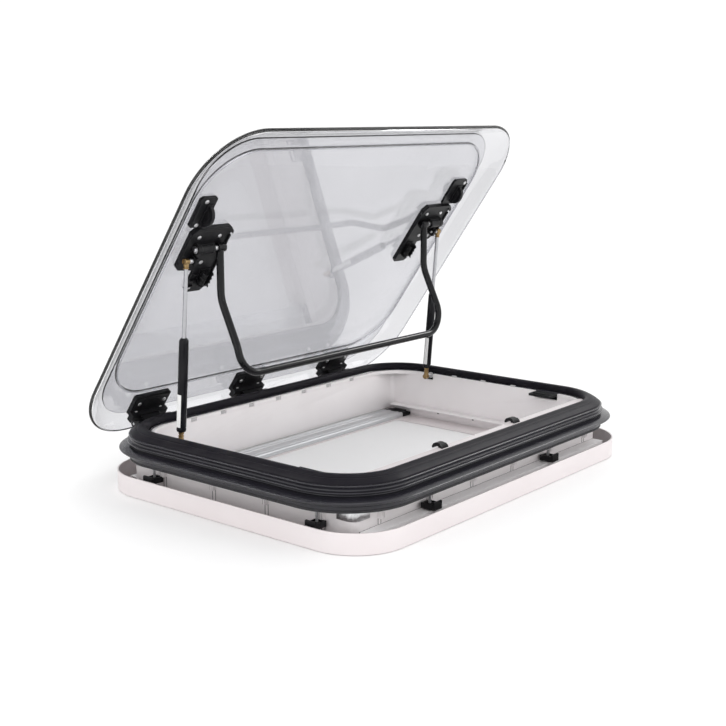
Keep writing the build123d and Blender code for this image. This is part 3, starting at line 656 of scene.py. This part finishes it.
def all_screws():
    """Every row of screws that shows."""
    leaf = [(x + dx, y) for x in (-250, 0, 250) for dx in (-28, 28) for y in (282, 302)]
    lid_screws("leaf_screw_heads", "hinge_leaf_screws", leaf, 104.5)
    bracket = [(322, -90), (278, -90), (322, -34), (292, -37), (292, 16)]
    both = [(side * x, y) for side in (-1, 1) for x, y in bracket]
    lid_screws("bracket_screw_heads", "bracket_screws", both, 109.5)
    catch = [(side * 343, y) for side in (-1, 1) for y in (-162, -117)]
    lid_screws("catch_screw_heads", "catch_screws", catch, 109)
    form = Form()
    for x in (-250, 0, 250):
        for end in (-30, 30):
            spot = Vector((x + end, 289, 92)) * MM
            pan_head(form, Matrix.Translation(spot), 4 * MM, 2 * MM)
    place(form.piece("base_screw_heads", 0), ["hinge_base_screws"])
    form = Form()
    for y in (-150, -60, 29, 115):
        for side in (-1, 1):
            turn = Matrix.Rotation(math.radians(-90 * side), 4, "Y")
            spot = Matrix.Translation(Vector((side * 345.4, y, 17)) * MM)
            pan_head(form, spot @ turn, 2.6 * MM, 1.1 * MM)
    place(form.piece("rail_screw_heads", 0), ["rail_screws"])


all_screws()


# ---- lid fittings -----------------------------------------------------------------------------
BAIL_PIVOT = (-72, 101.7)    # Y and Z of the bail's axis with the lid shut, in millimetres


def bracket(name, side):
    """An L-shaped bracket: raised rim, ribs, the bail's sleeve and the strut's lug."""
    form = Form()
    head = [(255, -101), (265, -111), (335, -111), (345, -101), (345, -34), (335, -24),
            (300, -20), (300, 19), (292, 27), (263, 27), (255, 19)]
    form.prism(mirrored(head, side), 109.5, 114)
    rim = [(255, -101), (265, -111), (335, -111), (345, -101), (345, -95), (341, -99),
           (333, -105), (267, -105), (260, -99), (255, -95)]
    form.prism(mirrored(rim, side), 104.5, 110)
    outer = [(345, -92), (345, -40), (341.5, -43), (341.5, -89)]
    form.prism(mirrored(outer, side), 106.5, 110)
    inner = [(255, -92), (258.5, -90), (258.5, 16), (255, 18)]
    form.prism(mirrored(inner, side), 106.5, 110)
    for y in (-12, 0, 12):
        rib = [(287.5, y - 1.2), (298.5, y - 1.2), (298.5, y + 1.2), (287.5, y + 1.2)]
        form.prism(mirrored(rib, side), 105.5, 110)
    saddle = [(288, -81), (326.5, -81), (326.5, -63), (288, -63)]
    form.prism(mirrored(saddle, side), 102, 110)
    sleeve = [(0, 0), (8.1, 0), (8.6, 0.8), (8.6, 5), (7.9, 6), (7.9, 28), (8.8, 29),
              (8.8, 36), (8.2, 37), (0, 37)]
    spot = Matrix.Translation(Vector((side * 290, *BAIL_PIVOT)) * MM)
    form.lathe(in_metres(sleeve), spot @ Matrix.Rotation(math.radians(90 * side), 4, "Y"), 36)
    lug = [(316, -57), (322, -57), (322, -43), (316, -43)]
    form.prism(mirrored(lug, side), 95.2, 110)
    place(form.piece(name, 0.0006, OPEN), ["lid_bracket_" + ("left" if side < 0 else "right")])


def c_clip(name, side, node):
    """The open ring that a parked bail leg snaps into, on its foot."""
    form = Form()
    foot = [(262, -22), (286, -22), (286, 8), (262, 8)]
    form.prism(mirrored(foot, side), 107.6, 109.5)
    middle = Vector((side * 274, -7, 101.9))
    outline = []
    for turn in range(-58, 239, 12):
        angle = math.radians(turn)
        outline.append((math.cos(angle) * 9.6, math.sin(angle) * 9.6))
    for turn in range(238, -59, -12):
        angle = math.radians(turn)
        outline.append((math.cos(angle) * 7.4, math.sin(angle) * 7.4))
    stand = Matrix.Translation(middle * MM) @ Matrix.Rotation(math.radians(90), 4, "X")
    form.prism(outline, -12, 12, stand)
    rib = [(x * 1.16, y * 1.16) for x, y in outline]
    for start in (-13, -4.6, 2.4, 10.8):
        form.prism(rib, start, start + 2.2, stand)
    place(form.piece(name, 0.0004, OPEN), [node])


def catch(name, side, node):
    """A catch: chamfered plate with a raised edge and a half-round fin on a boss.

    Neither plate is the other's mirror image: both reach further towards -X than towards +X.
    """
    form = Form()
    low, high = (307, 350) if side > 0 else (321, 357)
    plate = [(low, -166), (low + 4, -170), (high - 4, -170), (high, -166), (high, -116),
             (high - 4, -112), (low + 4, -112), (low, -116)]
    form.prism(mirrored(plate, side), 109, 114)
    edge = [(high - 3.5, -160), (high, -163), (high, -119), (high - 3.5, -122)]
    form.prism(mirrored(edge, side), 106, 110)
    boss = [(325, -157), (339, -157), (339, -119), (325, -119)]
    form.prism(mirrored(boss, side), 107, 110)
    fin = []
    for turn in range(180, 361, 10):
        angle = math.radians(turn)
        fin.append((math.cos(angle) * 19, math.sin(angle) * 18.6))
    stand = Matrix.Translation(Vector((side * 332, -136, 110)) * MM)
    stand = stand @ Matrix.Rotation(math.radians(90), 4, "Z")
    stand = stand @ Matrix.Rotation(math.radians(90), 4, "X")
    form.prism(fin, -3.2, 3.2, stand)
    hub = [(x * 0.62, y * 0.62) for x, y in fin]
    form.prism(hub, -4, 4, stand)
    place(form.piece(name, 0.0006, OPEN), [node])


for side_name, side in SIDES:
    bracket("bracket_body_" + side_name, side)
    c_clip("bail_clip_ring_" + side_name, side, "bail_clip_" + side_name)
    catch("catch_body_" + side_name, side, "lid_catch_" + side_name)


def hinge_leaf(name, x, node):
    """A hinge's lid half: bevelled plate with a raised border, arm and ribbed knuckle."""
    form = Form()
    plate = [(-40, 269), (-37, 266), (37, 266), (40, 269), (40, 308), (-40, 308)]
    form.prism([(x + dx, y) for dx, y in plate], 106, 114)
    pad = [(-37, 271), (-35, 269), (35, 269), (37, 271), (37, 306), (-37, 306)]
    form.prism([(x + dx, y) for dx, y in pad], 104.5, 107)
    panel = [(-20, 273), (20, 273), (20, 296), (-20, 296)]
    form.prism([(x + dx, y) for dx, y in panel], 103.4, 106)
    shoulder = [(-40, 300), (40, 300), (40, 317), (-40, 317)]
    form.prism([(x + dx, y) for dx, y in shoulder], 96, 106.5)
    arm = [(-20, 303.5), (20, 303.5), (20, 316.5), (-20, 316.5)]
    form.prism([(x + dx, y) for dx, y in arm], 87, 105)
    knuckle = [(0, 0), (6, 0), (6.5, 0.5)]
    for step in range(5):
        start = 3.4 + step * 7.2
        knuckle += [(6.5, start), (6.0, start + 0.4), (6.0, start + 1.2), (6.5, start + 1.6)]
    knuckle += [(6.5, 39.5), (6, 40), (0, 40)]
    spot = Matrix.Translation(Vector((x - 20, 310, 87)) * MM)
    form.lathe(in_metres(knuckle), spot @ Matrix.Rotation(math.radians(90), 4, "Y"), 32)
    place(form.piece(name, 0.0007, OPEN), [node])


for leaf_name, leaf_x in (("left", -250), ("middle", 0), ("right", 250)):
    hinge_leaf("leaf_plate_" + leaf_name, leaf_x, "hinge_leaf_" + leaf_name)


# ---- gas struts -------------------------------------------------------------------------------
STRUT_X = 0.336                  # each strut's distance from the middle
STRUT_FOOT = Vector((0.0, 0.140, 0.092))
STRUT_HEAD = OPEN @ Vector((0.0, -0.050, 0.1012))
STRUT_LENGTH = (STRUT_HEAD - STRUT_FOOT).length
LABEL_RADII = (8.02, 8.14)       # inside and outside of the paper, in millimetres
LABEL_HEIGHTS = (27, 82)
LABEL_START = 148                # where it starts round the tube, and how far it goes
LABEL_WRAP = 66


def strut_matrix(side):
    """From a frame with Z along one strut, starting at its lower ball."""
    along = (STRUT_HEAD - STRUT_FOOT).normalized()
    turn = Vector((0, 0, 1)).rotation_difference(along).to_matrix().to_4x4()
    return Matrix.Translation(STRUT_FOOT + Vector((side * STRUT_X, 0, 0))) @ turn


def turned(name, profile, matrix, node):
    """A lathed piece along one strut, in place of its CAD node."""
    form = Form()
    form.lathe(in_metres(profile), matrix, 40)
    place(form.piece(name, 0), [node])


def gas_strut(side_name, side):
    """Tube with crimped ends, stepped guide, rod, ball sockets and a blank label."""
    spot = strut_matrix(side)
    head = STRUT_LENGTH / MM
    turned("strut_body_" + side_name, [
        (0, 18), (5.5, 18), (7.2, 19), (8, 21), (8, 24), (7.6, 25), (7.6, 26), (8, 27),
        (8, 163), (7.7, 164), (7.7, 165.4), (8, 166.2), (7.6, 168), (0, 168),
    ], spot, "strut_tube_" + side_name)
    turned("strut_mouth_" + side_name, [
        (0, 167), (7.8, 167), (7.9, 170), (7.2, 172), (6.4, 173), (5.0, 175), (3.6, 175),
        (3.6, 174), (0, 174),
    ], spot, "strut_guide_" + side_name)
    turned("strut_shaft_" + side_name, [
        (0, 141), (3.4, 141), (3.4, head - 12), (0, head - 12),
    ], spot, "strut_rod_" + side_name)
    for end, start, way, name in (
        ("lower", 0, 1, "strut_lower_socket_"), ("upper", head, -1, "strut_upper_socket_")
    ):
        form = Form()
        neck = [(0, 3), (4.6, 3), (4.6, 8), (3.9, 8.6), (3.9, 9.4), (4.8, 10), (4.8, 11.8)]
        if end == "lower":
            neck += [(3.6, 12.4), (3.6, 14), (4.6, 14.6), (4.9, 18), (0, 18)]
        else:
            neck += [(0, 12)]
        base = spot @ Matrix.Translation((0, 0, start * MM))
        if way < 0:
            base = base @ Matrix.Rotation(math.pi, 4, "X")
        form.lathe(in_metres(neck), base, 32)
        cup = [(0, -5), (4.2, -5), (5.2, -4.2), (5.4, -2.8), (5.4, 2.8), (5.2, 4.2), (4.2, 5),
               (4.0, 3.2), (0, 3.2)]
        inward = Matrix.Rotation(math.radians(90 * side), 4, "Y")
        form.lathe(in_metres(cup), base @ inward, 32)
        place(form.piece(name + "turned_" + side_name, 0.0003), [name + side_name])
    label(side_name, side, spot)


def label(side_name, side, spot):
    """A blank paper label wrapped part way round the strut's tube."""
    columns = 12
    vertices = []
    for radius in LABEL_RADII:
        for height in LABEL_HEIGHTS:
            for step in range(columns + 1):
                turn = math.radians(LABEL_START + LABEL_WRAP * step / columns)
                flat = Vector((radius * math.cos(turn), radius * math.sin(turn), height))
                vertices.append(spot @ (flat * MM))
    row = columns + 1
    faces = []
    for layer in (0, 2 * row):
        for step in range(columns):
            a = layer + step
            faces.append((a, a + 1, a + row + 1, a + row))
    for edge in (0, row):
        for step in range(columns):
            a = edge + step
            faces.append((a, a + 1, a + 2 * row + 1, a + 2 * row))
    for step in (0, columns):
        faces.append((step, step + row, step + 3 * row, step + 2 * row))
    sticker = mesh_object("strut_label_" + side_name, vertices, faces)
    sticker.data.set_sharp_from_angle(angle=math.radians(40))
    sticker.data.materials.append(materials["label"])
    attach(sticker, "strut_tube_" + side_name)


for side_name, side in SIDES:
    gas_strut(side_name, side)


def bail_pins():
    """Stepped pivot pins with domed heads through the bail's ends."""
    form = Form()
    for side in (-1, 1):
        spot = OPEN @ Matrix.Translation(Vector((side * 281, *BAIL_PIVOT)) * MM)
        pin = [(0, 0), (4.9, 0), (4.9, 46.4), (6, 46.6), (6, 47.4), (3.8, 47.6), (3.6, 48.6),
               (2.2, 49.2), (0, 49.3)]
        form.lathe(in_metres(pin), spot @ Matrix.Rotation(math.radians(90 * side), 4, "Y"), 32)
    place(form.piece("bail_pins_stepped", 0.0002), ["bail_pivot_pins"])


bail_pins()


def bail_hooks():
    """Two small arched hooks on the front wall for the bail's bar."""
    form = Form()
    arch = [(-236.6, 88), (-222, 88), (-218.5, 89.5), (-217.6, 93), (-217.4, 96.4),
            (-215.6, 99), (-212.4, 99.8), (-207.8, 98.6), (-206, 95.6), (-203.4, 95.6),
            (-203.6, 99.4), (-206, 103), (-210, 104.8), (-215, 105.2), (-220, 104),
            (-224, 100.6), (-225.8, 96.6), (-226, 94), (-236.6, 94)]
    for x in (-106, 106):
        across = Matrix(((0, 0, 1, x * MM), (1, 0, 0, 0), (0, 1, 0, 0), (0, 0, 0, 1)))
        form.prism(arch, -7, 7, across)
        web = [(-235, 90), (-226, 94), (-225.8, 96.6), (-224, 100.6), (-220, 104), (-222, 98),
               (-224.5, 91)]
        form.prism(web, -9, 9, across)
    place(form.piece("bail_hooks_arched", 0.0006), ["bail_hooks"])


bail_hooks()


# ---- clamps -----------------------------------------------------------------------------------
def clamp_places():
    """Clamp centres and outward directions, in millimetres."""
    places = []
    for way in (-1, 1):
        places += [(x, way * 247.2, 0, way) for x in (-190, 157)]
        places += [(way * 357.2, y, way, 0) for y in (-183, 172)]
    return places


PITCH = 0.7          # of the clamp screws' threads, in millimetres


def clamps():
    """Ribbed clamp arms on long threaded screws."""
    arms = Form()
    threads = Form()
    for x, y, out_x, out_y in clamp_places():
        turn = Matrix.Rotation(math.atan2(out_y, out_x), 4, "Z")
        spot = Matrix.Translation(Vector((x, y, 0)) * MM) @ turn
        arms.prism([(0, -10), (26, -10), (26, 10), (0, 10)], 25.5, 30.5, spot)
        arms.prism([(0, -10), (4, -10), (4, 10), (0, 10)], 30, 35, spot)
        arms.prism([(22, -10), (26, -10), (26, 10), (22, 10)], 30, 38.5, spot)
        for rib in (-8.8, 8.8):
            arms.prism([(3, rib - 1.2), (24, rib - 1.2), (24, rib + 1.2), (3, rib + 1.2)],
                       30, 35, spot)
        arms.prism([(5.6, -4.4), (14.4, -4.4), (14.4, 4.4), (5.6, 4.4)], 30, 33.5, spot)
        axis = spot @ Matrix.Translation((0.010, 0, 0))
        thread = [(0, 25.4), (2.3, 25.4)]
        height = 33.8
        while height < 54.6:
            thread += [(1.8, height), (2.25, height + PITCH / 2), (1.8, height + PITCH)]
            height += PITCH
        thread += [(2.0, 55.2), (0, 55.2)]
        threads.lathe(in_metres(thread), axis, 16)
        head = [(0, 55), (3.2, 55), (3.6, 55.6), (3.6, 58.4), (3.1, 59), (0, 59)]
        threads.lathe(in_metres(head), axis, 6)
        foot = [(0, 24.1), (3.4, 24.1), (4.2, 24.6), (4.2, 25.5), (0, 25.5)]
        threads.lathe(in_metres(foot), axis, 20)
    place(arms.piece("clamp_arms_ribbed", 0.0005), ["clamp_brackets"])
    place(threads.piece("clamp_screws_threaded", 0), ["clamp_screws"])


clamps()


# ---- blinds -----------------------------------------------------------------------------------
BAR_Y = 0.186        # the parked bars' front edges
CLOTH_START = 0.2608
CLOTH_END = 0.2356
CLOTH_HALF = 0.317
FOLDS = 60


def bar_profile(low, high):
    """Outline of a blind bar across its length: finger grooves above, hollow foot below."""
    return [(0, low), (48, low), (48, high), (43, high), (42.4, high - 1), (39, high - 1),
            (38.4, high), (32, high), (31.4, high - 0.9), (16, high - 0.9), (15.4, high),
            (11, high), (10.4, high - 1), (7, high - 1), (6.4, high), (1.6, high),
            (0, high - 2.4)]


def blind(name, side, low, high):
    """One blind: grooved bar and stepped end caps."""
    across = Matrix(((0, 0, 1, 0), (side, 0, 0, side * BAR_Y), (0, 1, 0, 0), (0, 0, 0, 1)))
    bar = Form()
    bar.prism(bar_profile(low, high), -319, 319, across)
    place(bar.piece(name + "_bar_grooved", 0.00025), [name + "_bar"])
    caps = Form()
    for end in (-1, 1):
        for outline, start, stop in (
            ([(-1, low), (49, low), (49, high), (-1, high)], 319, 324),
            ([(1, low), (47, low), (47, high - 0.8), (1, high - 0.8)], 324, 338),
            ([(10, low), (40, low), (40, high), (10, high)], 330, 344.4),
            ([(-1, low), (8, low), (8, high - 2.4), (-1, high - 2.4)], 324, 344.4),
        ):
            caps.prism(outline, end * start, end * stop, across)
    place(caps.piece(name + "_caps_stepped", 0.0005), [name + "_bar_caps"])


def pleats(name, side, low, high, body, slot):
    """Folded cloth: a zigzag sheet from the pocket to the bar."""
    top = high * MM - 0.0006
    foot = low * MM + 0.0006
    columns = [-CLOTH_HALF + 2 * CLOTH_HALF * step / 24 for step in range(25)]
    vertices = []
    for fold in range(FOLDS + 1):
        y = CLOTH_START + (CLOTH_END - CLOTH_START) * fold / FOLDS
        z = top if fold % 2 else foot
        for index, x in enumerate(columns):
            wave = 0.00018 * math.sin(index * 1.7 + fold * 0.9)
            vertices.append((x, side * y, z + wave))
    row = len(columns)
    faces = []
    for fold in range(FOLDS):
        for index in range(row - 1):
            a = fold * row + index
            faces.append((a, a + 1, a + row + 1, a + row))
    sheet = mesh_object(name + "_cloth_pleated", vertices, faces, smooth=False)
    sheet.data.materials.append(materials[slot])
    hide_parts(name + "_cloth")
    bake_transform(sheet)


BLACKOUT_LEVELS = (3.4, 12.0)
SCREEN_LEVELS = (12.9, 21.5)
blind("blackout", 1, *BLACKOUT_LEVELS)
blind("screen", -1, *SCREEN_LEVELS)
pleats("blackout", 1, *BLACKOUT_LEVELS, "blackout_blind", "blind_cloth")
pleats("screen", -1, *SCREEN_LEVELS, "screen_blind", "screen_mesh")


THIN_BEVEL = {"corner_brackets": 0.0002}
# the pockets take the whiter finish as painted light against the flange's shade
OWN_FINISH = {
    "screen_pocket": "pocket_painted_light", "blackout_pocket": "pocket_painted_light", "snap_clips": "clip_grey",
}
for node in nodes:
    if not nodes[node].hide_render:
        refined(node, THIN_BEVEL.get(node, 0.0005), OWN_FINISH.get(node))


# ---- stage ------------------------------------------------------------------------------------
LIGHTS = (
    # name, location, target, size, energy, gloss only
    ("key", (-2.4, -2.2, 3.2), (0, 0, 0.2), 2.0, 14, False),
    ("fill", (2.6, -2.6, 2.2), (0, 0, 0.2), 2.4, 7, False),
    ("top", (0.3, 0.8, 4.0), (0, 0, 0), 3.0, 10, False),
    ("low_front", (0.5, -3.2, 0.55), (0, 0, 0.05), 2.0, 15, False),
    ("low_left", (-3.2, -0.4, 0.55), (0, 0, 0.05), 2.0, 12, False),
    ("edge_right", (2.9, -0.8, 2.4), (0, 0, 0.1), 0.9, 36, True),
    ("edge_back", (-0.6, 2.6, 2.9), (0, 0, 0.1), 0.9, 36, True),
)


def area_light(name, location, target, size, energy, gloss_only):
    """A square soft light aimed at a point."""
    light = bpy.data.lights.new(name, "AREA")
    light.shape = "SQUARE"
    light.size = size
    light.energy = energy
    lamp = bpy.data.objects.new(name, light)
    lamp.location = location
    aim = Vector(target) - Vector(location)
    lamp.rotation_euler = aim.to_track_quat("-Z", "Y").to_euler()
    lamp.visible_camera = False
    lamp.visible_diffuse = not gloss_only
    lamp.visible_transmission = not gloss_only
    bpy.context.scene.collection.objects.link(lamp)


def make_stage():
    """A pale floor, a pale sky and soft lights."""
    world = bpy.data.worlds.new("studio")
    world.use_nodes = True
    world.node_tree.nodes["Background"].inputs["Color"].default_value = (1, 1, 1, 1)
    world.node_tree.nodes["Background"].inputs["Strength"].default_value = 1.08
    bpy.context.scene.world = world
    bpy.context.scene.view_settings.view_transform = "Standard"
    half = 12.0
    corners = [(-half, -half, 0), (half, -half, 0), (half, half, 0), (-half, half, 0)]
    floor = mesh_object("studio_floor", corners, [(0, 1, 2, 3)], smooth=False)
    floor.location.z = cad_bounds[0].z - 0.0005
    paint = Shader("floor_white", (0.95, 0.95, 0.95), 0.6)
    floor.data.materials.append(paint.material)
    for light in LIGHTS:
        area_light(*light)


def make_camera():
    """The camera at the reference view."""
    lens = bpy.data.cameras.new("camera")
    lens.lens = 61.25
    lens.sensor_width = 36.0
    camera = bpy.data.objects.new("camera", lens)
    camera.location = (-1.6572, -1.3279, 0.6167)
    aim = Vector((0.3370, 0.3074, 0.0981)) - camera.location
    camera.rotation_euler = aim.to_track_quat("-Z", "Y").to_euler()
    bpy.context.scene.collection.objects.link(camera)
    bpy.context.scene.camera = camera


make_stage()
make_camera()
